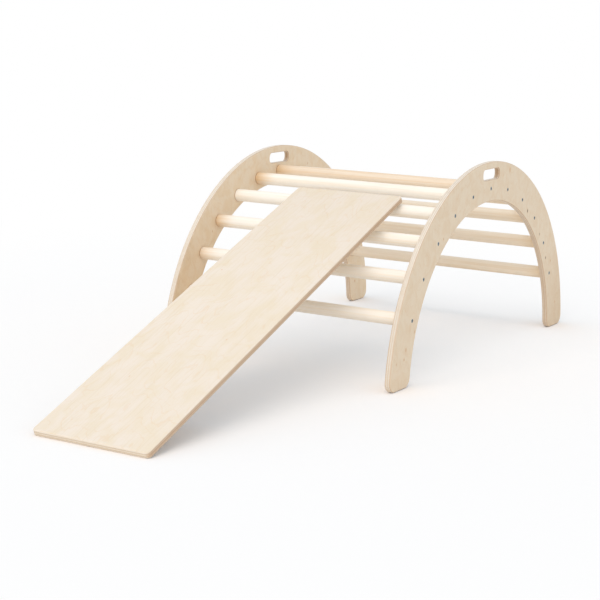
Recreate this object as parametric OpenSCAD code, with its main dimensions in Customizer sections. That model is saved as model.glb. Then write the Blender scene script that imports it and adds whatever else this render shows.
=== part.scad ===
// Climbing and rocker arch for small children, with a hook-on ramp.
// Two birch plywood side panels, cut as half-round bands, are held apart by
// eleven turned wooden rungs. One countersunk screw goes through each panel
// into each end of a rung. The ramp is a loose plywood board. Two cleats
// under its top end hook over a rung, and its low end rests on the floor.
// X runs along the rungs, Y from the ramp to the back, and Z up from the floor.
// The origin is on the floor, in the middle of the whole object.

/* [Side panels] */
// Height of the arch above the floor
arch_height = 500; // [460:5:560]
// Depth of the arcs' common centre below the floor
centre_drop = 18; // [5:1:40]
// Width of the arched band
band_width = 100; // [92:1:115]
// Thickness of the plywood panels
panel_thickness = 15; // [12:1:21]
// Radius of the softened panel edges
panel_arris = 2.5; // [1:0.5:4]
// Radius of the rounded corners of the feet
foot_radius = 25; // [8:1:30]

/* [Handle slots] */
// Length of the handle slot
slot_length = 97; // [80:1:120]
// Height of the handle slot
slot_height = 27.5; // [25:0.5:34]
// Radius of the corners of the handle slot
slot_corner = 12; // [6:0.5:13.5]
// Wood left above the middle of the handle slot
slot_web = 18; // [14:1:20]

/* [Rungs] */
// Diameter of a rung
rung_diameter = 32; // [28:1:34]
// Length of a rung, which sets the panels' distance apart
rung_length = 620; // [500:5:700]
// Distance of the rung axes from the inner edge of the band
rung_inset = 32; // [26:1:33]
// Angle from one rung to the next, seen from the arcs' centre
rung_pitch = 13.4; // [12:0.1:13.8]
// Chamfer on the ends of a rung
rung_chamfer = 1; // [0.5:0.5:3]

/* [Rung screws] */
// Diameter of a rung screw's shank
rung_screw_d = 6.3; // [4:0.1:7]
// Length of a rung screw, with its head
rung_screw_length = 50; // [35:1:70]
// Diameter of a rung screw's head
rung_screw_head_d = 9.4; // [9:0.1:12]
// Width across the flats of the hexagon socket in a rung screw
rung_screw_socket = 4; // [3:0.5:4.5]

/* [Ramp] */
// Length of the ramp board
ramp_length = 1120; // [900:10:1300]
// Width of the ramp board
ramp_width = 300; // [260:5:400]
// Thickness of the ramp board
ramp_thickness = 15; // [12:1:21]
// Radius of the ramp board's corners, seen from above
ramp_corner = 10; // [3:1:30]
// Radius of the softened edges at the ramp's two ends
ramp_arris = 3; // [1:0.5:4]
// How far the ramp board reaches past the rung that it hangs from
ramp_overhang = 8; // [0:1:25]
// How far the ramp stands to the right of the arch's middle
ramp_offset = 32; // [-60:1:60]
// Number of the rung that the ramp hangs from, counted up from the front foot
ramp_rung = 4; // [3:1:4]

/* [Ramp hooks] */
// Thickness of a hook cleat
hook_thickness = 18; // [12:1:24]
// Wood between the rung and the ramp board
hook_saddle = 6; // [4:0.5:10]
// Length of a hook's arm under the board, from the rung's axis
hook_arm = 72; // [60:1:100]
// Depth of a hook's arm under the board
hook_depth = 20; // [16:1:20]
// Thickness of the lip behind the rung
hook_lip = 14; // [10:1:18]
// How far the lip reaches below the rung's axis
hook_lip_drop = 8; // [4:1:12]
// Radius of the rounded ends of a hook
hook_round = 6; // [2:0.5:6.5]
// Distance of a hook from the side of the ramp board
hook_inset = 75; // [30:1:100]
// Distance of a hook's nearer screw from the rung's axis
hook_screw_start = 32; // [28:1:36]
// Distance between a hook's two screws
hook_screw_pitch = 26; // [14:1:30]
// Diameter of a hook screw's shank
hook_screw_d = 4; // [3:0.1:5]
// Length of a hook screw, with its head
hook_screw_length = 30; // [24:1:32]
// Diameter of a hook screw's head
hook_screw_head_d = 8; // [7:0.1:10]
// Width across the flats of the hexagon socket in a hook screw
hook_screw_socket = 2.5; // [2:0.5:3]

/* [Clearances] */
// Room between a rung and the hooks that hang on it
hook_clearance = 0.3; // [0.1:0.05:0.6]
// Room round a screw's shank in the wood that it only passes through
shank_clearance = 0.3; // [0.1:0.05:0.6]
// Room round a screw in the wood that holds it
thread_clearance = 0.05; // [0.02:0.01:0.1]
// How far a screw's head lies below the surface
head_sink = 0.3; // [0.1:0.1:1]

/* [Hidden] */
$fn = 96;
RUNGS = ["rung_01", "rung_02", "rung_03", "rung_04", "rung_05", "rung_06",
         "rung_07", "rung_08", "rung_09", "rung_10", "rung_11"];

panel_birch = [0.87, 0.79, 0.68];
ramp_birch = [0.90, 0.84, 0.74];
rung_birch = [0.95, 0.89, 0.80];
top_rung_birch = [0.95, 0.82, 0.66];
zinc = [0.55, 0.60, 0.66];

rung_count = len(RUNGS);
top_rung = (rung_count + 1) / 2;
outer_radius = arch_height + centre_drop;
inner_radius = outer_radius - band_width;
rung_circle = inner_radius + rung_inset;
rung_radius = rung_diameter / 2;
panel_x = rung_length / 2;
slot_z = arch_height - slot_web - slot_height / 2;

// A screw's head has a thin rim, and its cone below that is at 90 degrees.
head_rim = 0.3;
socket_depth_share = 0.6;
tip_length_share = 0.8;
tip_width_share = 0.25;
// How far a cutting shape reaches past the wood that it cuts.
past = 1;

// The feet's rounded corners touch the two arcs and the floor.
outer_corner_radius = outer_radius - foot_radius;
inner_corner_radius = inner_radius + foot_radius;
corner_rise = foot_radius + centre_drop;
outer_corner_y = sqrt(pow(outer_corner_radius, 2) - pow(corner_rise, 2));
inner_corner_y = sqrt(pow(inner_corner_radius, 2) - pow(corner_rise, 2));
foot_reach = outer_corner_y + foot_radius;

// The ramp's slope brings its rounded low edge down to the floor.
ramp_seat = rung_radius + hook_clearance + hook_saddle;
low_edge_u = ramp_length - ramp_overhang - ramp_arris;
low_edge_n = ramp_seat + ramp_arris;
ramp_slope = atan2(low_edge_n, low_edge_u)
           + asin((rung_z(ramp_rung) - ramp_arris) / norm([low_edge_u, low_edge_n]));
high_corner_n = ramp_seat + ramp_thickness - ramp_arris;
ramp_reach = low_edge_u * cos(ramp_slope) + high_corner_n * sin(ramp_slope) + ramp_arris
           - rung_circle * sin(rung_angle(ramp_rung));
arch_y = (ramp_reach - foot_reach) / 2;

hook_x = ramp_width / 2 - hook_inset - hook_thickness / 2;
notch_radius = rung_radius + hook_clearance;
arm_bottom = ramp_seat - hook_depth;
lip_end = notch_radius + hook_lip;

function rung_angle(i) = (i - top_rung) * rung_pitch;
function rung_y(i) = arch_y + rung_circle * sin(rung_angle(i));
function rung_z(i) = rung_circle * cos(rung_angle(i)) - centre_drop;

// A rectangle from the origin, with round corners.
module rounded_rectangle(width, height, radius) {
    translate([radius, 0]) square([width - 2 * radius, height]);
    translate([0, radius]) square([width, height - 2 * radius]);
    for (x = [radius, width - radius], y = [radius, height - radius])
        translate([x, y]) circle(radius);
}

// Turns a drawing in Y and Z into a plate of the given thickness along X.
module plate(thickness) {
    rotate([90, 0, 90]) linear_extrude(thickness) children();
}

// What a foot loses where a round corner replaces a sharp one.
module foot_corner(corner_y, centre_radius, outward) {
    toward = [corner_y, corner_rise] * outward / centre_radius;
    reach = 2 * foot_radius;
    translate([corner_y, foot_radius]) difference() {
        polygon([[0, 0], toward * reach, [outward * reach, -reach], [0, -reach]]);
        circle(foot_radius);
    }
}

// The half-round band, turned in one piece with its softened edges.
module arch_band() {
    translate([panel_x, 0, -centre_drop]) rotate([0, 90, 0]) rotate_extrude($fn = 180)
        translate([inner_radius, 0]) rounded_rectangle(band_width, panel_thickness, panel_arris);
}

module handle_slot() {
    translate([-slot_length / 2, slot_z - slot_height / 2])
        rounded_rectangle(slot_length, slot_height, slot_corner);
}

// The right-hand panel, standing on the floor with its inner face on the rungs.
module side_panel() {
    floor_cut = 2 * outer_radius + 2 * past;
    translate([0, arch_y, 0]) difference() {
        arch_band();
        translate([panel_x - past, -floor_cut / 2, -floor_cut])
            cube([panel_thickness + 2 * past, floor_cut, floor_cut]);
        translate([panel_x - past, 0, 0]) plate(panel_thickness + 2 * past) {
            handle_slot();
            for (side = [0, 1]) mirror([side, 0]) {
                foot_corner(outer_corner_y, outer_corner_radius, 1);
                foot_corner(inner_corner_y, inner_corner_radius, -1);
            }
        }
        translate([0, -arch_y, 0]) for (i = [1:rung_count]) rung_screw_hole(i);
    }
}

module side_panel_right() {
    color(panel_birch) side_panel();
}

module side_panel_left() {
    color(panel_birch) mirror([1, 0, 0]) side_panel();
}

// The axis of a rung's right-hand screw, from the panel's outer face inwards.
module at_rung_screw(i) {
    translate([panel_x + panel_thickness - head_sink, rung_y(i), rung_z(i)])
        rotate([0, -90, 0]) children();
}

module rung_screw_hole(i) {
    at_rung_screw(i) screw_hole(rung_screw_d, rung_screw_head_d, panel_thickness + past);
}

// A through hole with a countersink. It starts at the screw's head, looking up.
module screw_hole(shank_d, head_d, depth) {
    hole_r = shank_d / 2 + shank_clearance;
    head_r = head_d / 2 + thread_clearance;
    translate([0, 0, -past]) cylinder(h = past + head_rim, r = head_r);
    translate([0, 0, head_rim]) cylinder(h = head_r - hole_r, r1 = head_r, r2 = hole_r);
    cylinder(h = depth, r = hole_r);
}

// A countersunk screw with a hexagon socket, its head at the origin, point up.
module countersunk_screw(shank_d, head_d, length, socket) {
    shank_r = shank_d / 2;
    head_r = head_d / 2;
    tip = shank_d * tip_length_share;
    difference() {
        rotate_extrude($fn = 48) polygon([
            [0, 0], [head_r, 0], [head_r, head_rim], [shank_r, head_rim + head_r - shank_r],
            [shank_r, length - tip], [shank_r * tip_width_share, length], [0, length]]);
        translate([0, 0, -past])
            cylinder(h = socket * socket_depth_share + past, d = socket / cos(30), $fn = 6);
    }
}

// A turned rung along X, bored at both ends for its screws.
module rung(i) {
    bore_depth = rung_screw_length - panel_thickness + past;
    half = rung_length / 2;
    color(i == top_rung ? top_rung_birch : rung_birch)
    translate([0, rung_y(i), rung_z(i)]) rotate([0, 90, 0]) difference() {
        rotate_extrude() polygon([
            [0, -half], [rung_radius - rung_chamfer, -half], [rung_radius, rung_chamfer - half],
            [rung_radius, half - rung_chamfer], [rung_radius - rung_chamfer, half], [0, half]]);
        for (end = [0, 1]) mirror([0, 0, end]) translate([0, 0, half - bore_depth])
            cylinder(h = bore_depth + past, r = rung_screw_d / 2 + thread_clearance, $fn = 48);
    }
}

module rung_screws_right() {
    color(zinc) for (i = [1:rung_count]) at_rung_screw(i)
        countersunk_screw(rung_screw_d, rung_screw_head_d, rung_screw_length, rung_screw_socket);
}

module rung_screws_left() {
    mirror([1, 0, 0]) rung_screws_right();
}

// The ramp's own frame: the rung's axis, with Y up along the board.
module on_ramp() {
    translate([ramp_offset, rung_y(ramp_rung), rung_z(ramp_rung)])
        rotate([ramp_slope, 0, 0]) children();
}

// The places of one hook's two screws. They point up from the arm's underside.
module at_hook_screws(x) {
    for (u = [hook_screw_start, hook_screw_start + hook_screw_pitch])
        translate([x, -u, arm_bottom + head_sink]) children();
}

module ramp_board() {
    color(ramp_birch) on_ramp() difference() {
        intersection() {
            translate([-ramp_width / 2 - past, ramp_overhang - ramp_length, ramp_seat])
                plate(ramp_width + 2 * past)
                rounded_rectangle(ramp_length, ramp_thickness, ramp_arris);
            translate([-ramp_width / 2, ramp_overhang - ramp_length, ramp_seat - past])
                linear_extrude(ramp_thickness + 2 * past)
                rounded_rectangle(ramp_width, ramp_length, ramp_corner);
        }
        for (side = [-1, 1]) at_hook_screws(side * hook_x)
            cylinder(h = hook_screw_length + past, r = hook_screw_d / 2 + thread_clearance, $fn = 48);
    }
}

// The side view of a hook, round the rung's axis.
module hook_outline() {
    difference() {
        union() {
            translate([-hook_arm, arm_bottom])
                rounded_rectangle(hook_arm + lip_end / 2, hook_depth, hook_round);
            translate([0, -hook_lip_drop])
                rounded_rectangle(lip_end, hook_lip_drop + ramp_seat, hook_round);
        }
        circle(notch_radius);
        translate([-notch_radius, -hook_lip_drop - past])
            square([2 * notch_radius, hook_lip_drop + past]);
    }
}

module ramp_hook(x) {
    color(rung_birch) on_ramp() difference() {
        translate([x - hook_thickness / 2, 0, 0]) plate(hook_thickness) hook_outline();
        at_hook_screws(x) screw_hole(hook_screw_d, hook_screw_head_d, hook_depth + past);
    }
}

module hook_screws(x) {
    color(zinc) on_ramp() at_hook_screws(x)
        countersunk_screw(hook_screw_d, hook_screw_head_d, hook_screw_length, hook_screw_socket);
}

side_panel_left();
side_panel_right();
rung(1);  // rung_01
rung(2);  // rung_02
rung(3);  // rung_03
rung(4);  // rung_04
rung(5);  // rung_05
rung(6);  // rung_06
rung(7);  // rung_07
rung(8);  // rung_08
rung(9);  // rung_09
rung(10);  // rung_10
rung(11);  // rung_11
rung_screws_left();
rung_screws_right();
ramp_board();
ramp_hook(-hook_x);  // ramp_hook_left
ramp_hook(hook_x);  // ramp_hook_right
hook_screws(-hook_x);  // hook_screws_left
hook_screws(hook_x);  // hook_screws_right
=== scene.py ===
"""Wooden climbing and rocker arch for small children, with a hook-on ramp.

Metres. X runs along the rungs, Y from the ramp to the back, and Z up from the floor.
"""
import math

import bmesh
import bpy
from mathutils import Matrix, Vector


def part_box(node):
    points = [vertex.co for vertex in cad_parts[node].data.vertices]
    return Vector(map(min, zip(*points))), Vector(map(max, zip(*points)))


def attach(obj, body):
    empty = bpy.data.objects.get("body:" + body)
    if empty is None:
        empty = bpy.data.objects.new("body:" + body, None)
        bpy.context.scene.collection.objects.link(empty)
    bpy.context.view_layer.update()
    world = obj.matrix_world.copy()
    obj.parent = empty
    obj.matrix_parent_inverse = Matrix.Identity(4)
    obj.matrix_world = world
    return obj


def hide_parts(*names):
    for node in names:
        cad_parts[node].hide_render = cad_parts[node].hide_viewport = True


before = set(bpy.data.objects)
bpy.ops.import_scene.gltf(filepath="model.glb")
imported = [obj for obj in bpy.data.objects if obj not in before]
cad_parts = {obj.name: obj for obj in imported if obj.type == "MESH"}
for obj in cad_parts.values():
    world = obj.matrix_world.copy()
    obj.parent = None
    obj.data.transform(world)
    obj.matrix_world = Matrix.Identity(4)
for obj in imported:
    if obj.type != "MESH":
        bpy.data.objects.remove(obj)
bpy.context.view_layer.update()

# ---------------------------------------------------------------- Side panels
# Two half-round bands of 15 mm birch plywood stand on two feet each. They are
# cut with a router, which also cuts the handle slot and rounds every edge, and
# then sanded. Eleven countersunk holes in each take the screws of the rungs.

mm = 0.001
panel_low, panel_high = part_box("side_panel_right")
panel_inside = panel_low.x
panel_outside = panel_high.x
panel_thickness = panel_outside - panel_inside
arch_y = (panel_low.y + panel_high.y) / 2
arch_height = 500 * mm
centre_drop = 18 * mm
band_width = 100 * mm
foot_radius = 25 * mm
slot_length = 97 * mm
slot_height = 27.5 * mm
slot_corner = 12 * mm
slot_web = 18 * mm
# The slot's ends are darkened partly as the cutter's burn and partly as painted shade in the recess.
slot_burn_and_shade = 0.7
# The band's upright inside is darkened as painted shade, where the arch and its rungs shade it.
inner_painted_shade = 0.38
# The feet's bottom edges are darkened as a painted contact shadow.
foot_painted_shadow = 2.2
panel_edge_radius = 2.5 * mm

outer_steps = 180
inner_steps = 150
foot_steps = 12
corner_steps = 8
edge_steps = 5
edge_land = 0.5 * mm
smooth_angle = math.radians(30)


def arc(centre, radius, start, end, steps):
    """The points of an arc between two angles in degrees."""
    angles = [math.radians(start + (end - start) * i / steps) for i in range(steps + 1)]
    return [Vector((centre[0] + radius * math.cos(a), centre[1] + radius * math.sin(a))) for a in angles]


def rounded_rectangle(low, high, radius):
    """A rectangle with round corners, counterclockwise, from its lowest to its highest corner."""
    left, right = low[0] + radius, high[0] - radius
    bottom, top = low[1] + radius, high[1] - radius
    return (arc((right, bottom), radius, -90, 0, corner_steps)
            + arc((right, top), radius, 0, 90, corner_steps)
            + arc((left, top), radius, 90, 180, corner_steps)
            + arc((left, bottom), radius, 180, 270, corner_steps))


def inset(loop, distance):
    """The loop's points moved to the left of its direction, with mitred corners."""
    moved = []
    for i, point in enumerate(loop):
        before = (point - loop[i - 1]).normalized()
        after = (loop[(i + 1) % len(loop)] - point).normalized()
        middle = (before + after).normalized()
        left = Vector((-middle.y, middle.x))
        moved.append(point + left * distance / middle.dot(after))
    return moved


def new_piece(name, shape):
    """Makes an object of a bmesh, with its faces outwards and only its real corners sharp."""
    bmesh.ops.recalc_face_normals(shape, faces=shape.faces)
    mesh = bpy.data.meshes.new(name)
    shape.to_mesh(mesh)
    shape.free()
    mesh.shade_smooth()
    mesh.set_sharp_from_angle(angle=smooth_angle)
    piece = bpy.data.objects.new(name, mesh)
    bpy.context.scene.collection.objects.link(piece)
    return piece


def not_darkened(point, direction):
    """An edge that is drawn no darker: no burn, oil or painted shade."""
    return 0.0


def soft_plate(name, loops, low, high, edge_radius, fibres, place, darkened=not_darkened):
    """A plate between two depths, with rounded edges and the wood on the left of each loop.

    Its attribute end_grain says how squarely an edge cuts fibres that run along an axis of the loops,
    and stain how far the edge is drawn darker at a point of a loop, where the loop has a direction,
    by burns and oil and by painted shade."""
    turns = [math.pi / 2 * i / edge_steps for i in range(edge_steps + 1)]
    rim = [(edge_radius + edge_land, 0)]
    rim += [(edge_radius * (1 - math.sin(t)), edge_radius * (1 - math.cos(t))) for t in turns]
    section = [(w, low + d) for w, d in rim] + [(w, high - d) for w, d in reversed(rim)]
    shape = bmesh.new()
    end_grain = shape.verts.layers.float.new("end_grain")
    stain = shape.verts.layers.float.new("stain")
    for loop in loops:
        rings = [[shape.verts.new((*p, depth)) for p in inset(loop, w)] for w, depth in section]
        for i, point in enumerate(loop):
            direction = (loop[(i + 1) % len(loop)] - loop[i - 1]).normalized()
            for ring in rings:
                ring[i][end_grain] = abs(direction[1 - fibres])
                ring[i][stain] = darkened(point, direction)
        for near, far in zip(rings, rings[1:]):
            for i in range(len(loop)):
                shape.faces.new((near[i - 1], near[i], far[i], far[i - 1]))
    for depth in (low, high):
        border = [e for e in shape.edges if e.is_boundary and abs(e.verts[0].co.z - depth) < edge_land]
        bmesh.ops.triangle_fill(shape, edges=border, use_beauty=True)
    shape.transform(place)
    return new_piece(name, shape)


def side_outline():
    """The band's outline in Y and Z about the arch's middle, counterclockwise."""
    outer = arch_height + centre_drop
    inner = outer - band_width
    rise = foot_radius + centre_drop
    outer_y = math.sqrt((outer - foot_radius) ** 2 - rise ** 2)
    inner_y = math.sqrt((inner + foot_radius) ** 2 - rise ** 2)
    outer_angle = math.degrees(math.atan2(rise, outer_y))
    inner_angle = math.degrees(math.atan2(rise, inner_y))
    centre = (0, -centre_drop)
    return (arc(centre, outer, outer_angle, 180 - outer_angle, outer_steps)
            + arc((-outer_y, foot_radius), foot_radius, 180 - outer_angle, 270, foot_steps)[1:]
            + arc((-inner_y, foot_radius), foot_radius, 270, 360 - inner_angle, foot_steps)
            + arc(centre, inner, 180 - inner_angle, inner_angle, inner_steps)[1:]
            + arc((inner_y, foot_radius), foot_radius, 180 + inner_angle, 270, foot_steps)[1:]
            + arc((outer_y, foot_radius), foot_radius, 270, 360 + outer_angle, foot_steps)[:-1])


slot_top = arch_height - slot_web
slot_outline = rounded_rectangle((-slot_length / 2, slot_top - slot_height),
                                 (slot_length / 2, slot_top), slot_corner)

# A plate is drawn lying and then stood on its edge, with its thickness along the rungs.
on_edge = Matrix(((0, 0, 1, 0), (1, 0, 0, 0), (0, 1, 0, 0), (0, 0, 0, 1)))
in_arch = Matrix.Translation((0, arch_y, 0)) @ on_edge
touch = 0.1 * mm


def panel_burn_and_shade(point, direction):
    """How far an edge is drawn darker: the band's upright inside as painted shade, the slot's ends as the
    cutter's burn and painted shade. Over 1, a foot's bottom gets a painted contact shadow.
    """
    from_centre = (point - Vector((0, -centre_drop))).length
    if point.y < touch:
        return foot_painted_shadow
    inner_radius = arch_height + centre_drop - band_width
    inner_corner = point.y < foot_radius and from_centre < inner_radius + band_width / 2
    if from_centre < inner_radius + touch or inner_corner:
        return inner_painted_shade * abs(direction.y)
    above_slot_middle = point.y - slot_top + slot_height / 2
    if abs(point.x) < slot_length / 2 + touch and abs(above_slot_middle) < slot_height / 2 + touch:
        return slot_burn_and_shade * abs(direction.y)
    return 0.0


# The screws' holes and, further on, the rungs and the screws stand on one
# circle about the arch's centre, a fixed angle apart. A tree of nodes sets
# any of them on it.

top_rung_low, top_rung_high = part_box("rung_06")
next_rung_low, next_rung_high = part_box("rung_07")
rung_radius = (top_rung_high.z - top_rung_low.z) / 2
rung_circle = (top_rung_low.z + top_rung_high.z) / 2 + centre_drop
rung_step = math.atan2((next_rung_low.y + next_rung_high.y) / 2 - arch_y,
                       (next_rung_low.z + next_rung_high.z) / 2 + centre_drop)
rung_count = 11
top_rung = 6
first_rung_angle = (1 - top_rung) * rung_step
arch_centre = Vector((0, arch_y, -centre_drop))


def node(tree, kind, inputs=(), **settings):
    """Adds a node with its settings, constants and links, and gives its outputs."""
    made = tree.nodes.new(kind)
    for name, value in settings.items():
        setattr(made, name, value)
    for socket, value in inputs.items() if isinstance(inputs, dict) else enumerate(inputs):
        if isinstance(value, bpy.types.NodeSocket):
            tree.links.new(value, made.inputs[socket])
        else:
            made.inputs[socket].default_value = value
    return made.outputs


def turned(name, profile, sides):
    """A closed shape turned about X, from points of (x, radius). A third entry makes a ring six-sided."""
    shape = bmesh.new()
    rings = []
    for x, radius, *flats in profile:
        ring = []
        for i in range(sides if radius else 1):
            angle = 2 * math.pi * i / sides
            past_flat = (angle + math.pi / 6) % (math.pi / 3) - math.pi / 6
            reach = radius / math.cos(past_flat) if flats else radius
            ring.append(shape.verts.new((x, reach * math.cos(angle), reach * math.sin(angle))))
        rings.append(ring)
    for near, far in zip(rings, rings[1:]):
        for i in range(sides):
            corners = [near[i - 1], near[i]] if len(near) > 1 else [near[0]]
            corners += [far[i], far[i - 1]] if len(far) > 1 else [far[0]]
            shape.faces.new(corners)
    return new_piece(name, shape)


on_circle = bpy.data.node_groups.new("Pieces on a circle", "GeometryNodeTree")
for socket_name, socket_type, value in (
        ("Piece", "NodeSocketObject", None), ("Count", "NodeSocketInt", rung_count),
        ("Circle", "NodeSocketFloat", rung_circle), ("First Angle", "NodeSocketFloat", first_rung_angle),
        ("Step Angle", "NodeSocketFloat", rung_step), ("Centre", "NodeSocketVector", arch_centre),
        ("Facing", "NodeSocketVector", (1, 0, 0)), ("Free Turn", "NodeSocketFloat", math.tau),
        ("Seed", "NodeSocketInt", 1), ("Finish", "NodeSocketMaterial", None)):
    made = on_circle.interface.new_socket(socket_name, in_out="INPUT", socket_type=socket_type)
    if value is not None:
        made.default_value = value
on_circle.interface.new_socket("Geometry", in_out="OUTPUT", socket_type="NodeSocketGeometry")
given = node(on_circle, "NodeGroupInput")
number = node(on_circle, "GeometryNodeInputIndex")[0]
angle = node(on_circle, "ShaderNodeMath", (number, given["Step Angle"], given["First Angle"]),
             operation="MULTIPLY_ADD")[0]
along_y = node(on_circle, "ShaderNodeMath", (angle,), operation="SINE")[0]
along_z = node(on_circle, "ShaderNodeMath", (angle,), operation="COSINE")[0]
spoke = node(on_circle, "ShaderNodeCombineXYZ", (0.0, along_y, along_z))[0]
place = node(on_circle, "ShaderNodeVectorMath", (spoke, given["Circle"], given["Centre"]),
             operation="MULTIPLY_ADD")[0]
points = node(on_circle, "GeometryNodePoints", (given["Count"], place))[0]
# The ends of a random number are the sockets 2 and 3.
own_turn = node(on_circle, "FunctionNodeRandomValue",
                {2: 0.0, 3: given["Free Turn"], "Seed": given["Seed"]}, data_type="FLOAT")[1]
turned_by = node(on_circle, "ShaderNodeCombineXYZ", (own_turn,))[0]
rotation = node(on_circle, "FunctionNodeEulerToRotation", (turned_by,))[0]
aimed = node(on_circle, "FunctionNodeAlignRotationToVector",
             {"Rotation": rotation, "Vector": given["Facing"]}, axis="X")[0]
shown = node(on_circle, "GeometryNodeObjectInfo", {"Object": given["Piece"]})["Geometry"]
copies = node(on_circle, "GeometryNodeInstanceOnPoints",
              {"Points": points, "Instance": shown, "Rotation": aimed})[0]
tone = node(on_circle, "FunctionNodeRandomValue", {2: 0.0, 3: 1.0, "Seed": given["Seed"]},
            data_type="FLOAT")[1]
toned = node(on_circle, "GeometryNodeStoreNamedAttribute",
             {"Geometry": copies, "Name": "tone", "Value": tone}, data_type="FLOAT", domain="INSTANCE")[0]
solid = node(on_circle, "GeometryNodeRealizeInstances", (toned,))[0]
finished = node(on_circle, "GeometryNodeSetMaterial", {"Geometry": solid, "Material": given["Finish"]})[0]
node(on_circle, "NodeGroupOutput", (finished,))


def keep_mesh(piece):
    """Turns what a piece's modifiers make into its plain mesh."""
    graph = bpy.context.evaluated_depsgraph_get()
    mesh = bpy.data.meshes.new_from_object(piece.evaluated_get(graph), preserve_all_data_layers=True,
                                           depsgraph=graph)
    piece.modifiers.clear()
    piece.data = mesh


def set_on_circle(name, **values):
    """Runs the tree of nodes with these inputs and gives the pieces as one object."""
    row = bpy.data.objects.new(name, bpy.data.meshes.new(name))
    bpy.context.scene.collection.objects.link(row)
    modifier = row.modifiers.new(name, "NODES")
    modifier.node_group = on_circle
    for item in on_circle.interface.items_tree:
        key = item.name.lower().replace(" ", "_")
        if item.in_out == "INPUT" and key in values:
            modifier[item.identifier] = values[key]
    keep_mesh(row)
    return row


def drill(board, bit, **values):
    """Bores a board with copies of a bit set on a circle."""
    bits = set_on_circle(board.name + "_bits", piece=bit, **values)
    holes = board.modifiers.new("holes", "BOOLEAN")
    holes.operation = "DIFFERENCE"
    holes.solver = "EXACT"
    holes.object = bits
    keep_mesh(board)
    board.data.set_sharp_from_angle(angle=smooth_angle)
    bpy.data.objects.remove(bits)


shank_clearance = 0.3 * mm
head_clearance = 0.05 * mm
head_sink = 0.3 * mm
head_rim = 0.3 * mm
overshoot = 1 * mm
bit_sides = 32
rung_screw_shank = 6.3 * mm
rung_screw_head = 9.4 * mm


def countersink_bit(name, shank, head, depth):
    """A bit for a screw's through hole and countersink. Its zero is the plane of the screw's head."""
    hole = shank / 2 + shank_clearance
    rim = head / 2 + head_clearance
    outside = -head_sink - overshoot
    inside = depth + overshoot
    return turned(name, [(outside, 0), (outside, rim), (head_rim, rim), (head_rim + rim - hole, hole),
                         (inside, hole), (inside, 0)], bit_sides)


# Sanded birch plywood under a clear matt oil: a pale rotary-cut face veneer
# with a soft flame figure, fine fibre streaks and a few pin knots. Its cut
# edges show the plies in turn: a ply is pale along its fibres and tan across.


def colour(code):
    """An sRGB hex colour as linear RGBA."""
    parts = [int(code[i:i + 2], 16) / 255 for i in (0, 2, 4)]
    linear = [p / 12.92 if p <= 0.04045 else ((p + 0.055) / 1.055) ** 2.4 for p in parts]
    return (*linear, 1.0)


def new_material(name):
    """A material with an empty tree of nodes."""
    material = bpy.data.materials.new(name)
    material.use_nodes = True
    material.node_tree.nodes.clear()
    return material


def coat(piece, material):
    """Gives a piece this one material."""
    piece.data.materials.clear()
    piece.data.materials.append(material)


def grain(tree, local, fibres, along, across, detail=2.0, distortion=0.0):
    """Noise in spots of a size in millimetres along the fibres' axis and across it."""
    spots = [across] * 3
    spots[fibres] = along
    stretched = node(tree, "ShaderNodeMapping", {"Vector": local, "Scale": [1 / s for s in spots]})[0]
    return node(tree, "ShaderNodeTexNoise", {"Vector": stretched, "Scale": 1.0, "Detail": detail,
                                             "Roughness": 0.6, "Distortion": distortion})[0]


def tinted(tree, wood, figure, low, high, share, tone):
    """Lays a tone on the wood, up to a share, as a figure's value goes from one level to another."""
    amount = node(tree, "ShaderNodeMapRange", (figure, low, high, 0.0, share),
                  interpolation_type="SMOOTHSTEP")[0]
    # A mix has its share in socket 0 and its two colours in 6 and 7.
    return node(tree, "ShaderNodeMix", {0: amount, 6: wood, 7: colour(tone)}, data_type="RGBA")[2]


# Each pattern's spots, in millimetres along the fibres and across them. Real fibres are about 0.3 mm wide.
# The streaks and flecks are drawn wider, so that they show from a few metres.
streak_size = (130, 3.2)
fleck_size = (24, 1.3)
ragged_size = (60, 16)
ring_gap_size = (60, 40)
wander_size = (60, 60)
pore_size = (0.8, 0.8)
edge_stain_size = (20, 20)
year_length = 60.0
years_in_a_hill = 8.0
raggedness = 0.14
ring_gaps = 0.25


def year_rings(tree, local, fibres, hill_size):
    """How far a point of the face is from a year ring, in years, or more where the ring is broken."""
    hills = grain(tree, local, fibres, *hill_size, detail=1.0, distortion=0.3)
    ragged = grain(tree, local, fibres, *ragged_size, detail=3.0)
    gaps = grain(tree, local, fibres, *ring_gap_size)
    along_board = node(tree, "ShaderNodeSeparateXYZ", (local,))[fibres]
    climbed = node(tree, "ShaderNodeMath", (ragged, raggedness, hills), operation="MULTIPLY_ADD")[0]
    taper = node(tree, "ShaderNodeMath", (along_board, 1 / year_length), operation="MULTIPLY")[0]
    years = node(tree, "ShaderNodeMath", (climbed, years_in_a_hill, taper), operation="MULTIPLY_ADD")[0]
    to_year = node(tree, "ShaderNodeMath", (years, 0.5), operation="PINGPONG")[0]
    return node(tree, "ShaderNodeMath", (gaps, ring_gaps, to_year), operation="MULTIPLY_ADD")[0]


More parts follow.
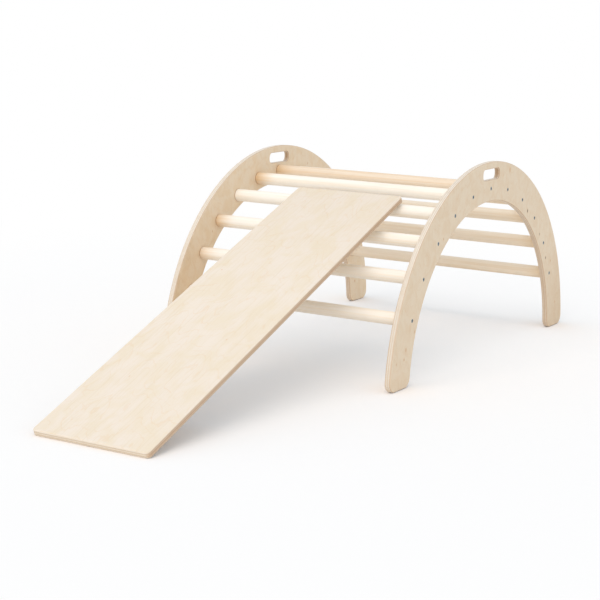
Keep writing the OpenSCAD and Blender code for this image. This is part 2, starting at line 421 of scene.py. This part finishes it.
def face_veneer(tree, local, fibres, flecks, tones, figure):
    """The face's colour without knots.

    The veneer is peeled off the log, so year rings cross it as long flames, thin, ragged and broken.
    A painted shade makes one side of it darker, ever more along a direction."""
    mottle = grain(tree, local, fibres, *figure["mottle"], detail=3.0, distortion=0.6)
    rings = year_rings(tree, local, fibres, figure["loops"])
    streaks = grain(tree, local, fibres, *streak_size, detail=3.0)
    face = colour(tones["pale"])
    for pattern, low, high, share, tone in (
            (mottle, 0.35, 0.7, 1.0, "warm"), (rings, 0.21, 0.11, figure["flame"], "flame"),
            (streaks, 0.48, 0.75, figure["streaks"], "streak"),
            (flecks, 0.5, 0.8, figure["flecks"], "streak")):
        face = tinted(tree, face, pattern, low, high, share, tones[tone])
    direction, start, end, shade = figure["painted_shade"]
    toward = node(tree, "ShaderNodeVectorMath", (local, direction), operation="DOT_PRODUCT")["Value"]
    shaded = node(tree, "ShaderNodeMapRange", (toward, start, end), interpolation_type="SMOOTHSTEP")[0]
    return node(tree, "ShaderNodeMix", {0: shaded, 6: face, 7: colour(shade)}, data_type="RGBA",
                blend_type="MULTIPLY")[2]


resin = "CC9450"
pin_knot = "6A5A4A"
pin_cell = 30.0
pin_radius = 1.3
pin_core = 0.6
pin_share = 0.6
knot_width = 0.6
knot_shake = 2.4
shakes_per_mm = 0.3
halo_reach = 2.2
halo_share = 0.4
core_reach = 0.4


def knotted(tree, face, local, through, fibres, depth, tones, knots):
    """Puts pin knots in both faces: given ones where the axis through the plies looks, strewn ones behind.

    A given knot is its place across and along the fibres, its radius, its share and its tone. A strewn
    one shows where a cell's point lies close to the face, about one to a hand's breadth."""
    flat = [1.0, 1.0, 1.0]
    flat[through] = 0.0
    flat[fibres] = knot_width
    shakes = node(tree, "ShaderNodeTexNoise", {"Vector": local, "Scale": shakes_per_mm})["Color"]
    shaken = node(tree, "ShaderNodeVectorMath", (shakes, [knot_shake] * 3, local),
                  operation="MULTIPLY_ADD")[0]
    on_plane = node(tree, "ShaderNodeVectorMath", (shaken, flat), operation="MULTIPLY")[0]
    from_pin = node(tree, "ShaderNodeTexVoronoi", {"Vector": on_plane, "Scale": 1 / pin_cell})["Distance"]
    strewn = tinted(tree, face, from_pin, pin_radius / pin_cell, pin_core / pin_cell, pin_share, resin)
    known = face
    for across, along, radius, share, tone in knots:
        centre = [knot_shake / 2 + across] * 3
        centre[fibres] = knot_shake / 2 + along
        centre = [c * f for c, f in zip(centre, flat)]
        away = node(tree, "ShaderNodeVectorMath", (on_plane, centre), operation="DISTANCE")["Value"]
        known = tinted(tree, known, away, radius * halo_reach, radius, share * halo_share, tones["flame"])
        known = tinted(tree, known, away, radius, radius * core_reach, share, tone)
    upper = node(tree, "ShaderNodeMath", (depth, 0.0), operation="GREATER_THAN")[0]
    return node(tree, "ShaderNodeMix", {0: upper, 6: strewn, 7: known}, data_type="RGBA")[2]


# Seven plies are drawn in place of eleven, because real ones are too thin to show from a few metres.
outer_ply = 1.3
core_plies = 5
ply_wander = 0.6
arris_start = 2.6
arris_end = 1.0
darkening_near_face = 0.45
# A foot's bottom edge takes this dark tone as a painted contact shadow on the floor.
contact_shadow_tone = "4E4034"
contact_shadow_share = 0.8


def ply_edge(tree, local, fibres, depth, from_middle, half, tones, arris_share):
    """A cut edge's colour: plies in long and end grain by turns, glue lines, oil, burns, painted shade and
    a painted contact shadow.
    """
    core_ply = (2 * half - 2 * outer_ply) / core_plies
    wander = grain(tree, local, fibres, *wander_size, detail=1.0)
    height = node(tree, "ShaderNodeMath", (wander, ply_wander, depth), operation="MULTIPLY_ADD")[0]
    count = node(tree, "ShaderNodeMath", (height, 1 / core_ply, core_plies / 2 - ply_wander / 2 / core_ply),
                 operation="MULTIPLY_ADD")[0]
    whole = node(tree, "ShaderNodeMath", (count,), operation="FLOOR")[0]
    parity = node(tree, "ShaderNodeMath", (whole, 2.0), operation="FLOORED_MODULO")[0]
    crossed = node(tree, "ShaderNodeMath", (1.0, parity), operation="SUBTRACT")[0]
    end_grain = node(tree, "ShaderNodeAttribute", attribute_name="end_grain")["Fac"]
    unlike = node(tree, "ShaderNodeMath", (crossed, end_grain), operation="SUBTRACT")[0]
    end_on = node(tree, "ShaderNodeMath", (unlike,), operation="ABSOLUTE")[0]
    to_joint = node(tree, "ShaderNodeMath", (count, 0.5), operation="PINGPONG")[0]
    pores = grain(tree, local, fibres, *pore_size)
    stains = grain(tree, local, fibres, *edge_stain_size, detail=3.0)
    edge = colour(tones["long_edge"])
    # The last of these is the oil, which the rounded arrises take up more of.
    for pattern, low, high, share, tone in (
            (end_on, 0.1, 0.9, 0.8, "end_edge"), (stains, 0.4, 0.7, 0.3, "end_edge"),
            (pores, 0.45, 0.8, 0.2, "glue"), (to_joint, 0.2, 0.02, 0.4, "glue"),
            (from_middle, half - arris_start, half - arris_end, arris_share, "glue")):
        edge = tinted(tree, edge, pattern, low, high, share, tones[tone])
    # stain darkens an edge: burns and oil, and painted shade on the band's inside and the slot's ends.
    stain_and_shade_level = node(tree, "ShaderNodeAttribute", attribute_name="stain")["Fac"]
    lighter = node(tree, "ShaderNodeMapRange",
                   (from_middle, half * 0.8, half * 0.2, darkening_near_face, 1.0))[0]
    darkening = node(tree, "ShaderNodeMath", (stain_and_shade_level, lighter), operation="MULTIPLY")[0]
    edge = node(tree, "ShaderNodeMix", {0: darkening, 6: edge, 7: colour(tones["stain"])},
                data_type="RGBA")[2]
    # Above 1 the edge gets the painted contact shadow of a foot.
    return tinted(tree, edge, stain_and_shade_level, 1.0, 2.0, contact_shadow_share, contact_shadow_tone)


oiled_wood_ior = 1.5
plywood_roughness = (0.5, 0.62)
fibre_relief = 0.2 * mm
skin_blur = 0.1


def birch_plywood(name, middle, slope, through, fibres, thickness, tones, figure, knots):
    """Plywood about its own middle, with an axis through its plies and one along its face's fibres."""
    material = new_material(name)
    tree = material.node_tree
    place = node(tree, "ShaderNodeTexCoord")["Object"]
    local = node(tree, "ShaderNodeMapping", {"Vector": place, "Location": middle, "Rotation": (slope, 0, 0),
                                             "Scale": (mm, mm, mm)}, vector_type="TEXTURE")[0]
    depth = node(tree, "ShaderNodeSeparateXYZ", (local,))[through]
    from_middle = node(tree, "ShaderNodeMath", (depth,), operation="ABSOLUTE")[0]
    half = thickness / mm / 2
    flecks = grain(tree, local, fibres, *fleck_size)
    face = face_veneer(tree, local, fibres, flecks, tones, figure)
    face = knotted(tree, face, local, through, fibres, depth, tones, knots)
    edge = ply_edge(tree, local, fibres, depth, from_middle, half, tones, figure["arris"])
    skin = half - figure["skin"]
    on_face = node(tree, "ShaderNodeMapRange", (from_middle, skin - skin_blur, skin + skin_blur))[0]
    look = node(tree, "ShaderNodeMix", {0: on_face, 6: edge, 7: face}, data_type="RGBA")[2]
    matt = node(tree, "ShaderNodeMapRange", (flecks, 0.3, 0.8, *plywood_roughness))[0]
    relief = node(tree, "ShaderNodeBump", {"Strength": 0.3, "Distance": fibre_relief, "Height": flecks})[0]
    wood = node(tree, "ShaderNodeBsdfPrincipled", {"Base Color": look, "Roughness": matt,
                                                   "IOR": oiled_wood_ior, "Normal": relief})[0]
    node(tree, "ShaderNodeOutputMaterial", (wood,))
    return material


panel_tones = {"pale": "F0E1CB", "warm": "ECD9BF", "flame": "E2C298", "streak": "DDC5A2",
               "long_edge": "EFECE5", "end_edge": "DDCDB8", "glue": "C79C68", "stain": "A67636"}
# A figure's painted_shade darkens a face as painted shade: the panels towards a lower foot, the ramp
# towards its top.
panel_figure = {"mottle": (30, 24), "loops": (140, 80), "flame": 0.2, "streaks": 0.05, "flecks": 0.05,
                "arris": 0.45, "skin": 0.3, "painted_shade": ((0.0, 1.0, -1.0), 120, 480, "F3EDE6")}
left_figure = dict(panel_figure, painted_shade=((0.0, -1.0, -1.0), -100, 450, "F5ECDF"))
# The knots of the right panel's outer face and the left one's inner face, placed from the arch's middle
# and the floor.
right_knots = (
    (-264, 334, 2.4, 0.6, resin), (418, 192, 2.4, 0.6, resin), (466, 68, 2.8, 0.5, resin),
    (-442, 93, 4.2, 0.4, resin), (-450, 71, 2.2, 0.8, resin), (-487, 66, 2.8, 0.4, resin),
    (-401, 129, 2.8, 0.4, resin), (112, 470, 5.5, 0.35, resin), (240, 350, 3.4, 1.0, pin_knot),
    (331, 277, 3.0, 0.6, pin_knot), (382, 205, 3.0, 0.9, pin_knot))
left_knots = ((441, 61, 2.4, 0.7, resin), (-320, 300, 2.0, 0.5, resin), (150, 440, 2.2, 0.5, resin))
# The left panel has the right one's tones made lighter and warmer: painted bounce light off the rungs and
# ramp.
left_bounce_lit_tones = dict(panel_tones, pale="F4E3CB", warm="F0DABB")
panel_bit = countersink_bit("panel_bit", rung_screw_shank, rung_screw_head, panel_thickness)
for name, side, tones, figure, knots in (
        ("right_side_panel", 1, panel_tones, panel_figure, right_knots),
        ("left_side_panel", -1, left_bounce_lit_tones, left_figure, left_knots)):
    low, high = sorted((side * panel_inside, side * panel_outside))
    panel = soft_plate(name, [side_outline(), slot_outline[::-1]], low, high, panel_edge_radius, fibres=1,
                       place=in_arch, darkened=panel_burn_and_shade)
    drill(panel, panel_bit, facing=(-side, 0, 0),
          centre=arch_centre + Vector((side * (panel_outside - head_sink), 0, 0)))
    coat(panel, birch_plywood(
        name + "_birch_plywood", middle=((low + high) / 2, arch_y, 0), slope=0, through=0, fibres=2,
        thickness=panel_thickness, tones=tones, figure=figure, knots=knots))
    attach(panel, "arch")
    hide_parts("side_panel_right" if side > 0 else "side_panel_left")
bpy.data.objects.remove(panel_bit)

# ---------------------------------------------------------------------- Rungs
# Eleven turned birch dowels, 32 mm across, are held between the two panels.
# Their ends are eased and bored for the screws. They are oiled, some with a warmer end,
# partly the wood's own tone and partly painted shade and bounce light from the panel,
# and the one at the top is warm all along. The back ones are drawn darker, a painted shade.

rung_half = panel_inside
rung_end = 1 * mm
bore_depth = 36 * mm
bore_radius = rung_screw_shank / 2 + head_clearance
rung_sides = 64
half_profile = [(-rung_half + bore_depth, 0), (-rung_half + bore_depth, bore_radius),
                (-rung_half, bore_radius)]
half_profile += [(-rung_half + rung_end * (1 - math.sin(t)), rung_radius - rung_end * (1 - math.cos(t)))
                 for t in (math.radians(90), math.radians(60), math.radians(30), 0)]
rung = turned("rung", half_profile + [(-x, radius) for x, radius in reversed(half_profile)], rung_sides)

# Turned and sanded birch under a clear oil: cream with faint broad bands, fine straight fibre lines and a
# soft sheen. The lines are drawn wider than real fibres, so that they show from a few metres.

band_size = (420, 9)
line_size = (160, 1.8)
turned_roughness = (0.45, 0.58)
heart_and_shade_fade = 40
heart_and_shade_wander = 50.0
end_shade_depth = 2.4
end_shade_full = 0.8


def turned_birch(name, tones, side, warmth):
    """Birch with straight fibres along X. A rung's own tone and the warmth set how warm one end is, partly
    as painted shade.
    """
    material = new_material(name)
    tree = material.node_tree
    place = node(tree, "ShaderNodeTexCoord")["Object"]
    local = node(tree, "ShaderNodeMapping", {"Vector": place, "Scale": (1 / mm, 1 / mm, 1 / mm)})[0]
    across_arch = node(tree, "ShaderNodeSeparateXYZ", (local,))["X"]
    own = node(tree, "ShaderNodeAttribute", attribute_name="tone")["Fac"]
    bands = grain(tree, local, 0, *band_size, detail=3.0, distortion=0.3)
    lines = grain(tree, local, 0, *line_size)
    wood = tinted(tree, colour(tones["pale"]), bands, 0.42, 0.68, 0.8, tones["warm"])
    wood = tinted(tree, wood, lines, 0.5, 0.8, 0.4, tones["line"])
    end = rung_half / mm
    # The warm end is partly the wood's own tone and partly painted shade and bounce light where the rung
    # meets a panel.
    towards = node(tree, "ShaderNodeMath", (across_arch, float(side)), operation="MULTIPLY")[0]
    wander = node(tree, "ShaderNodeMath", (bands, heart_and_shade_wander, towards), operation="MULTIPLY_ADD")[0]
    near_end = node(tree, "ShaderNodeMapRange", (wander, end - heart_and_shade_fade, end + heart_and_shade_fade),
                    interpolation_type="SMOOTHSTEP")[0]
    warmer = node(tree, "ShaderNodeMath", (own, warmth), operation="ADD")[0]
    warmed = node(tree, "ShaderNodeMapRange", (warmer, 0.3, 0.95, 0.0, 0.9))[0]
    heart_and_shade = node(tree, "ShaderNodeMath", (near_end, warmed), operation="MULTIPLY")[0]
    wood = node(tree, "ShaderNodeMix", {0: heart_and_shade, 6: wood, 7: colour(tones["heart_and_shade"])}, data_type="RGBA")[2]
    # The eased ends show end grain, which takes up more oil.
    # The dark ring there is also painted shade where a rung meets a panel.
    to_end = node(tree, "ShaderNodeMath", (across_arch,), operation="ABSOLUTE")[0]
    wood = tinted(tree, wood, to_end, end - end_shade_depth, end - end_shade_full, 0.75, tones["end"])
    matt = node(tree, "ShaderNodeMapRange", (lines, 0.3, 0.8, *turned_roughness))[0]
    relief = node(tree, "ShaderNodeBump", {"Strength": 0.3, "Distance": fibre_relief, "Height": lines})[0]
    shader = node(tree, "ShaderNodeBsdfPrincipled", {"Base Color": wood, "Roughness": matt,
                                                     "IOR": oiled_wood_ior, "Normal": relief})[0]
    node(tree, "ShaderNodeOutputMaterial", (shader,))
    return material


cream_birch = turned_birch("cream_turned_birch", {"pale": "FFFBF4", "warm": "FCF2E3", "line": "F2E2C9",
                                                  "heart_and_shade": "DDB987", "end": "A0702F"}, -1, 0.0)
# The back rungs are a darker copy of the cream birch, a painted shade, with more painted shade at their
# right ends by the near panel.
shaded_birch = turned_birch("brown_turned_birch", {"pale": "F6EBDB", "warm": "EDDBC2", "line": "E2CBAE",
                                                  "heart_and_shade": "E8D4B8", "end": "96693B"}, 1, 1.0)
warm_birch = turned_birch("warm_turned_birch", {"pale": "F2E2CE", "warm": "EDD4B6", "line": "E0BE96",
                                                "heart_and_shade": "E0C29A", "end": "9A6A30"}, -1, 1.0)
for name, first, count, wood, wood_slot, seed in (
        ("front_rungs", 1, 5, cream_birch, "rung_wood", 50),
        ("warm_top_rung", 6, 1, warm_birch, "warm_rung", 1),
        ("rung_behind_top", 7, 1, cream_birch, "rung_wood", 1),
        ("back_rungs", 8, 4, shaded_birch, "rung_wood", 5)):
    row = set_on_circle(name, piece=rung, count=count, first_angle=(first - top_rung) * rung_step,
                        seed=seed, finish=wood)
    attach(row, "arch")
    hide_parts(*[f"rung_{i:02d}" for i in range(first, first + count)])
bpy.data.objects.remove(rung)

# ---------------------------------------------------------------- Rung screws
# Countersunk steel screws with a hexagon socket, zinc-plated with a bluish
# passivation. Each goes through a panel into a rung's end grain, its head a
# little below the surface, and each has stopped at its own angle.

rung_screw_length = 50 * mm
rung_screw_socket = 4 * mm
screw_sides = 24
head_easing = 0.25 * mm
cloud_size = 2.5
zinc_roughness = (0.3, 0.48)


def countersunk_screw(name, shank, head, length, socket):
    """A screw along X, from the bottom of its hexagon socket round its head to its point."""
    tip_length = shank * 0.8
    tip_radius = shank / 8
    socket_depth = socket * 0.6
    socket_end = socket_depth * 1.25
    return turned(name, [
        (socket_end, 0), (socket_depth, socket / 2, 6), (head_easing, socket / 2, 6),
        (0, socket / 2 + head_easing, 6), (0, head / 2 - head_easing), (head_easing / 2, head / 2),
        (head_rim, head / 2), (head_rim + (head - shank) / 2, shank / 2), (length - tip_length, shank / 2),
        (length, tip_radius), (length, 0)], screw_sides)


def zinc_plate():
    """Blue-passivated zinc on steel: a dull grey metal with a cloudy gloss."""
    material = new_material("blue_zinc_plated_steel")
    tree = material.node_tree
    place = node(tree, "ShaderNodeTexCoord")["Object"]
    local = node(tree, "ShaderNodeMapping", {"Vector": place, "Scale": (1 / mm, 1 / mm, 1 / mm)})[0]
    clouds = grain(tree, local, 0, cloud_size, cloud_size, detail=3.0)
    metal = tinted(tree, colour("6F828E"), clouds, 0.35, 0.7, 1.0, "9BAAB2")
    gloss = node(tree, "ShaderNodeMapRange", (clouds, 0.3, 0.7, *zinc_roughness))[0]
    shader = node(tree, "ShaderNodeBsdfPrincipled", {"Base Color": metal, "Roughness": gloss,
                                                     "Metallic": 1.0})[0]
    node(tree, "ShaderNodeOutputMaterial", (shader,))
    return material


zinc = zinc_plate()
rung_screw = countersunk_screw("rung_screw", rung_screw_shank, rung_screw_head, rung_screw_length,
                               rung_screw_socket)
for name, side, seed in (("right_rung_screws", 1, 7), ("left_rung_screws", -1, 8)):
    row = set_on_circle(name, piece=rung_screw, facing=(-side, 0, 0), seed=seed, finish=zinc,
                        centre=arch_centre + Vector((side * (panel_outside - head_sink), 0, 0)))
    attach(row, "arch")
    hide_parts("rung_screws_right" if side > 0 else "rung_screws_left")
bpy.data.objects.remove(rung_screw)

# ----------------------------------------------------------------- Ramp board
# One loose board of the same plywood, 1120 by 300 mm, with small round
# corners and rounded edges. Its veneer runs along it. The low end stands on
# the floor, and the top end hangs on the fourth rung.

ramp_length = 1120 * mm
ramp_width = 300 * mm
ramp_thickness = 15 * mm
ramp_corner = 10 * mm
ramp_edge_radius = 3 * mm
side_darkening = 0.46
ramp_low, ramp_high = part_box("ramp_board")
ramp_centre = (ramp_low + ramp_high) / 2
# The board's box gives its slope, because its rounded edges touch the sides of the box.
long_side = ramp_length - 2 * ramp_edge_radius
short_side = ramp_thickness - 2 * ramp_edge_radius
run = ramp_high.y - ramp_low.y - 2 * ramp_edge_radius
climb = ramp_high.z - ramp_low.z - 2 * ramp_edge_radius
ramp_slope = math.atan2(long_side * climb - short_side * run, long_side * run - short_side * climb)
ramp_outline = rounded_rectangle((-ramp_width / 2, -ramp_length / 2), (ramp_width / 2, ramp_length / 2),
                                 ramp_corner)


def ramp_side_darkening(point, direction):
    """How much darker the long sides are drawn than the ends."""
    return side_darkening * abs(direction.y)


sloped = Matrix.Rotation(ramp_slope, 4, "X")
ramp_board = soft_plate("ramp_plank", [ramp_outline], -ramp_thickness / 2, ramp_thickness / 2,
                        ramp_edge_radius, fibres=1, place=Matrix.Translation(ramp_centre) @ sloped,
                        darkened=ramp_side_darkening)

# Two screws hold each cleat. They stand on a small circle, half a turn apart.

rung_low, rung_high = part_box("rung_04")
hooked_rung = (rung_low + rung_high) / 2
uphill = Vector((0, math.cos(ramp_slope), math.sin(ramp_slope)))
off_board = Vector((0, -math.sin(ramp_slope), math.cos(ramp_slope)))
hook_arm = 72 * mm
hook_depth = 20 * mm
hook_saddle = 6 * mm
hook_clearance = 0.3 * mm
hook_notch = rung_radius + hook_clearance
hook_seat = hook_notch + hook_saddle
hook_screw_start = 32 * mm
hook_screw_pitch = 26 * mm
hook_screw_shank = 4 * mm
hook_screw_head = 8 * mm
hook_screw_length = 30 * mm
hook_screw_socket = 2.5 * mm


def pair_under(side_name):
    """Where the two screws of a cleat stand, as inputs of the tree of nodes."""
    low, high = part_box("ramp_hook_" + side_name)
    along = -hook_screw_start - hook_screw_pitch / 2
    head_plane = hook_seat - hook_depth + head_sink
    on_axis = Vector(((low.x + high.x) / 2, hooked_rung.y, hooked_rung.z))
    return {"count": 2, "circle": hook_screw_pitch / 2, "first_angle": math.pi / 2 - ramp_slope,
            "step_angle": math.pi, "facing": off_board,
            "centre": on_axis + uphill * along + off_board * head_plane}


pilot_start = hook_depth - head_sink - overshoot
pilot_end = hook_screw_length + overshoot
pilot_radius = hook_screw_shank / 2 + head_clearance
pilot_bit = turned("pilot_bit", [(pilot_start, 0), (pilot_start, pilot_radius), (pilot_end, pilot_radius),
                                 (pilot_end, 0)], screw_sides)
for side_name in ("left", "right"):
    drill(ramp_board, pilot_bit, **pair_under(side_name))
bpy.data.objects.remove(pilot_bit)
ramp_tones = {"pale": "F1E6D9", "warm": "EEE1CC", "flame": "E6C598", "streak": "E3D3B7",
              "long_edge": "F1EADF", "end_edge": "DFCFB9", "glue": "AF8F69", "stain": "B87C2E"}
ramp_figure = {"mottle": (90, 50), "loops": (150, 70), "flame": 0.22, "streaks": 0.42, "flecks": 0.2,
               "arris": 0.0, "skin": 1.5, "painted_shade": ((0.0, 1.0, 0.0), 0, 600, "FAF9F8")}
ramp_knots = ((-114, 128, 1.8, 0.4, resin), (73, -146, 1.8, 0.4, resin), (-60, -330, 1.6, 0.35, resin))
coat(ramp_board, birch_plywood(
    "ramp_birch_plywood", middle=ramp_centre, slope=ramp_slope, through=2, fibres=1,
    thickness=ramp_thickness, tones=ramp_tones, figure=ramp_figure, knots=ramp_knots))
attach(ramp_board, "ramp")
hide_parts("ramp_board")

# --------------------------------------------------------------- Ramp's cleats
# Two cleats of 18 mm birch plywood under the board's top end. Each is a J: an
# arm along the board, a saddle over the rung and a lip behind it. They are
# cut with a router and sanded, and two screws from below hold each.

hook_lip = 14 * mm
hook_lip_drop = 8 * mm
hook_round = 6 * mm
hook_edge_radius = 1 * mm
hook_corner_steps = 6
saddle_steps = 24
arm_bottom = hook_seat - hook_depth
lip_end = hook_notch + hook_lip
hook_outline = (
    arc((-hook_arm + hook_round, arm_bottom + hook_round), hook_round, 180, 270, hook_corner_steps)
    + arc((0, 0), hook_notch, 180 - math.degrees(math.asin(arm_bottom / hook_notch)), 0, saddle_steps)
    + [Vector((hook_notch, -hook_lip_drop))]
    + arc((lip_end - hook_round, -hook_lip_drop + hook_round), hook_round, -90, 0, hook_corner_steps)
    + arc((lip_end - hook_round, hook_seat - hook_round), hook_round, 0, 90, hook_corner_steps)
    + arc((-hook_arm + hook_round, hook_seat - hook_round), hook_round, 90, 180, hook_corner_steps))
on_rung = Matrix.Translation((0, hooked_rung.y, hooked_rung.z)) @ sloped @ on_edge
hook_tones = dict(ramp_tones, pale="F1E4D0", warm="EBD8BC")
hook_figure = {"mottle": (60, 36), "loops": (120, 60), "flame": 0.3, "streaks": 0.4, "flecks": 0.3,
               "arris": 0.2, "skin": 0.6, "painted_shade": ((0.0, 1.0, 0.0), -40, 40, "F8F4EE")}
hook_bit = countersink_bit("hook_bit", hook_screw_shank, hook_screw_head, hook_depth)
hook_screw = countersunk_screw("hook_screw", hook_screw_shank, hook_screw_head, hook_screw_length,
                               hook_screw_socket)
for side_name, seed in (("left", 11), ("right", 12)):
    low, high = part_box("ramp_hook_" + side_name)
    cleat = soft_plate(side_name + "_ramp_cleat", [hook_outline], low.x, high.x, hook_edge_radius, fibres=0,
                       place=on_rung)
    drill(cleat, hook_bit, **pair_under(side_name))
    coat(cleat, birch_plywood(
        side_name + "_cleat_birch_plywood", middle=((low.x + high.x) / 2, hooked_rung.y, hooked_rung.z),
        slope=ramp_slope, through=0, fibres=1, thickness=high.x - low.x, tones=hook_tones,
        figure=hook_figure, knots=()))
    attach(cleat, "ramp")
    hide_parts("ramp_hook_" + side_name)
    screws = set_on_circle(side_name + "_cleat_screws", piece=hook_screw, seed=seed, finish=zinc,
                           **pair_under(side_name))
    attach(screws, "ramp")
    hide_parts("hook_screws_" + side_name)
bpy.data.objects.remove(hook_bit)
bpy.data.objects.remove(hook_screw)

# ---------------------------------------------------------------------- Studio
# A pale floor that fades into white, a broad softbox above the front, another
# low behind the camera and an even white surround. The camera stands at the
# photograph's angle.

studio_white = colour("FFFFFF")
floor_size = 40.0
floor_drop = 0.1 * mm
# The paper shows shadows up to a distance from the arch's middle, and is white from a second one on.
shadow_reach = 1.1
fade_end = 2.6
lit_paper = "F3EBE1"
shown_white = "FFF5EC"
cool_glow = "61C3F9"
open_glow = 0.2
closed_glow = 0.06
closed_reach = 100 * mm
surround_tint = "F8FCFF"
surround_strength = 0.72
softbox_tint = "FFF6ED"
softbox_angle = math.radians(50)
# A softbox is its strength and the direction that its light comes from.
high_softbox = (0.86, Vector((0.05, -1.15, 1.75)))
low_softbox = (0.49, Vector((0.3, -1.6, 0.6)))


def seen_directly(tree):
    """Where the camera, a mirror or glass looks."""
    rays = node(tree, "ShaderNodeLightPath")
    either = node(tree, "ShaderNodeMath", (rays["Is Camera Ray"], rays["Is Glossy Ray"]),
                  operation="MAXIMUM")[0]
    return node(tree, "ShaderNodeMath", (either, rays["Is Transmission Ray"]), operation="MAXIMUM")[0]


floor_shape = bmesh.new()
bmesh.ops.create_grid(floor_shape, x_segments=1, y_segments=1, size=floor_size / 2)
floor = new_piece("studio_floor", floor_shape)
floor.data.transform(Matrix.Translation((0, 0, -floor_drop)))
paper = new_material("studio_paper")
tree = paper.node_tree
lit = node(tree, "ShaderNodeBsdfDiffuse", {"Color": colour(lit_paper)})[0]
# The paper is a little warm and glows a little cool, so that light off the wood doesn't tint its shadows.
# Where the wood closes it off it glows less, or the deepest shadows would be blue.
bright = node(tree, "ShaderNodeBsdfDiffuse", {"Color": colour(shown_white)})[0]
openness = node(tree, "ShaderNodeAmbientOcclusion", {"Distance": closed_reach})["AO"]
glow_strength = node(tree, "ShaderNodeMapRange", (openness, 0, 1, closed_glow, open_glow))[0]
glow = node(tree, "ShaderNodeEmission", {"Color": colour(cool_glow), "Strength": glow_strength})[0]
near_paper = node(tree, "ShaderNodeAddShader", (bright, glow))[0]
white = node(tree, "ShaderNodeEmission", {"Color": studio_white, "Strength": 1.0})[0]
ground = node(tree, "ShaderNodeTexCoord")["Object"]
away = node(tree, "ShaderNodeVectorMath", (ground,), operation="LENGTH")["Value"]
haze = node(tree, "ShaderNodeMapRange", (away, shadow_reach, fade_end), interpolation_type="SMOOTHSTEP")[0]
shown_paper = node(tree, "ShaderNodeMixShader", (haze, near_paper, white))[0]
paper_look = node(tree, "ShaderNodeMixShader", (seen_directly(tree), lit, shown_paper))[0]
node(tree, "ShaderNodeOutputMaterial", (paper_look,))
coat(floor, paper)

surround = bpy.data.worlds.new("studio_surround")
surround.use_nodes = True
bpy.context.scene.world = surround
tree = surround.node_tree
tree.nodes.clear()
fill = node(tree, "ShaderNodeBackground",
            {"Color": colour(surround_tint), "Strength": surround_strength})[0]
backdrop = node(tree, "ShaderNodeBackground", {"Color": studio_white, "Strength": 1.0})[0]
surround_look = node(tree, "ShaderNodeMixShader", (seen_directly(tree), fill, backdrop))[0]
node(tree, "ShaderNodeOutputWorld", (surround_look,))

for name, (energy, light_from) in (("high_softbox", high_softbox), ("low_softbox", low_softbox)):
    lamp = bpy.data.lights.new(name, "SUN")
    lamp.color = colour(softbox_tint)[:3]
    lamp.energy = energy
    lamp.angle = softbox_angle
    lamp_object = bpy.data.objects.new(name, lamp)
    lamp_object.rotation_mode = "QUATERNION"
    lamp_object.rotation_quaternion = light_from.to_track_quat("Z", "Y")
    bpy.context.scene.collection.objects.link(lamp_object)

# The camera's angles are in radians: a yaw from Y towards X, a pitch upwards and a roll.
camera_place = Vector((1.96615, arch_y - 3.635, 0.89505))
camera_yaw = -0.5445
camera_pitch = -0.1898
camera_roll = 0.0204
focal_pixels = 1568.0
picture_pixels = 600
camera = bpy.data.cameras.new("camera")
camera.sensor_width = 36
camera.lens = camera.sensor_width * focal_pixels / picture_pixels
camera.clip_end = 100
camera_object = bpy.data.objects.new("camera", camera)
ahead = Vector((math.sin(camera_yaw) * math.cos(camera_pitch),
                math.cos(camera_yaw) * math.cos(camera_pitch), math.sin(camera_pitch)))
level = Vector((math.cos(camera_yaw), -math.sin(camera_yaw), 0))
upward = level.cross(ahead)
right_axis = math.cos(camera_roll) * level + math.sin(camera_roll) * upward
up_axis = math.cos(camera_roll) * upward - math.sin(camera_roll) * level
camera_object.matrix_world = Matrix.Translation(camera_place) @ Matrix(
    (right_axis, up_axis, -ahead)).transposed().to_4x4()
bpy.context.scene.collection.objects.link(camera_object)
bpy.context.scene.camera = camera_object
bpy.context.scene.view_settings.view_transform = "Standard"
